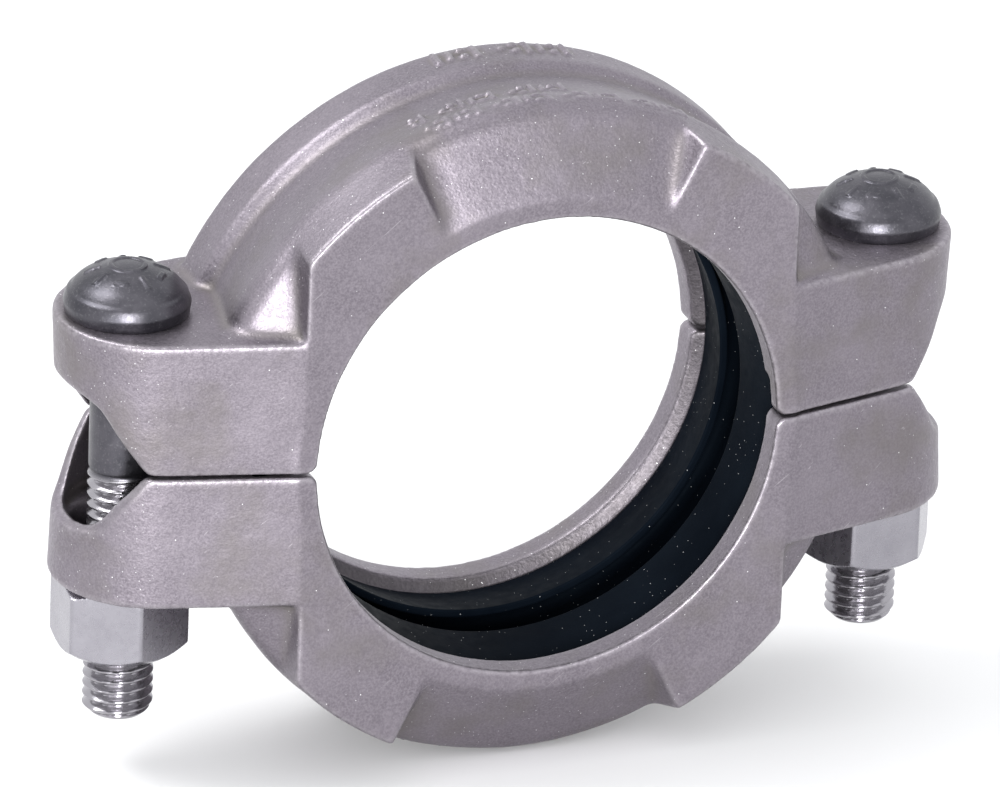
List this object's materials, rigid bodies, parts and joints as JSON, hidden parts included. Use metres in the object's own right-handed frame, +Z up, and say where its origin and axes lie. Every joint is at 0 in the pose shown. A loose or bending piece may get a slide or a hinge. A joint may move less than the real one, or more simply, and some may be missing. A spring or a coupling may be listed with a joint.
{
  "type": "pipe coupling",
  "caption": "Clamp coupling for grooved pipe: two cast half-ring housings with bolt pads around a rubber gasket, drawn together by domed bolts and hex nuts.",
  "frame": {"origin": "centre of the bore, on its axis and midway between the two faces", "axes": "+Y along the bore, away from the plated front; +Z up along the bolts, towards the bolt heads; +X across both bolts"},
  "size_m": [0.1694, 0.0476, 0.1254],
  "materials": {
    "housing": "bead-blasted casting",
    "gasket": "moulded, matt",
    "bolt": "satin forged",
    "nut": "machined"
  },
  "bodies": {
    "lower": {"lower_housing": "housing", "gasket": "gasket"},
    "upper": {"upper_housing": "housing"},
    "left_bolt": {"left_bolt": "bolt"},
    "right_bolt": {"right_bolt": "bolt"},
    "left_nut": {"left_nut": "nut"},
    "right_nut": {"right_nut": "nut"}
  },
  "joints": [
    {"name": "housing_lift", "type": "slide", "parent": "lower", "child": "upper", "axis": [0, 0, 1], "range_m": [0, 0.01172]},
    {"name": "left_bolt_lift", "type": "slide", "parent": "lower", "child": "left_bolt", "axis": [0, 0, 1], "range_m": [0, 0.01172]},
    {"name": "right_bolt_lift", "type": "slide", "parent": "lower", "child": "right_bolt", "axis": [0, 0, 1], "range_m": [0, 0.01172]},
    {"name": "left_nut_turn", "type": "hinge", "parent": "lower", "child": "left_nut", "pos_m": [-0.0718, 0, -0.03235], "axis": [0, 0, 1], "range_deg": [-2160.5, 0]},
    {"name": "right_nut_turn", "type": "hinge", "parent": "lower", "child": "right_nut", "pos_m": [0.0718, 0, -0.03235], "axis": [0, 0, 1], "range_deg": [-2160.5, 0]}
  ],
  "couplings": [
    {"joint": "left_bolt_lift", "follows": "housing_lift", "ratio": 1},
    {"joint": "right_bolt_lift", "follows": "housing_lift", "ratio": 1},
    {"joint": "left_nut_turn", "follows": "housing_lift", "rad_per_m": -3215.6},
    {"joint": "right_nut_turn", "follows": "housing_lift", "rad_per_m": -3215.6}
  ]
}
